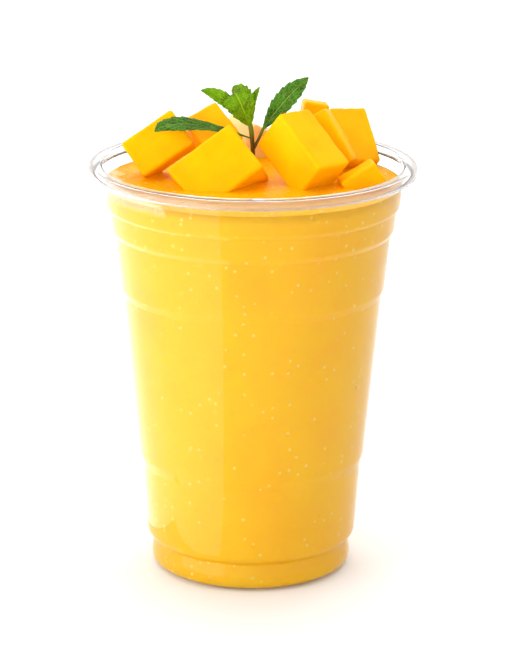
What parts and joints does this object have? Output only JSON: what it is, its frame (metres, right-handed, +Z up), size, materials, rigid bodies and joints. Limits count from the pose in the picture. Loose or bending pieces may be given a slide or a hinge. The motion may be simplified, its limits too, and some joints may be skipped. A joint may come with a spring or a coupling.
{
  "type": "mango smoothie",
  "caption": "Thick mango smoothie in a stepped clear plastic cup with a rolled rim, topped with hand-cut mango cubes and a sprig of mint.",
  "frame": {"origin": "middle of the foot, on the surface the cup stands on", "axes": "+Z up along the cup's axis, towards the rim; the cup is round, and -Y is the side the toppings are arranged to be seen from"},
  "size_m": [0.098, 0.098, 0.1496],
  "materials": {
    "clear_plastic": "clear, glossy moulded plastic",
    "smoothie": "thick wet fruit puree with fine pulp",
    "mango": "moist cut fruit, fine fibres",
    "pale_mango": "moist cut fruit, paler and more fibrous",
    "mint": "fresh leaf, quilted between the veins"
  },
  "bodies": {
    "root": {"cup": "clear_plastic", "smoothie": "smoothie", "mango_cube_far_left": "mango", "mango_cube_back_left": "mango", "mango_cube_front_left": "mango", "mango_cube_front_right": "mango", "mango_cube_inner_right": "mango", "mango_cube_back_middle": "mango", "mango_cube_back_right": "mango", "mango_cube_small_right": "mango", "mango_cube_pale_back": "pale_mango", "mint_sprig": "mint"}
  },
  "joints": []
}
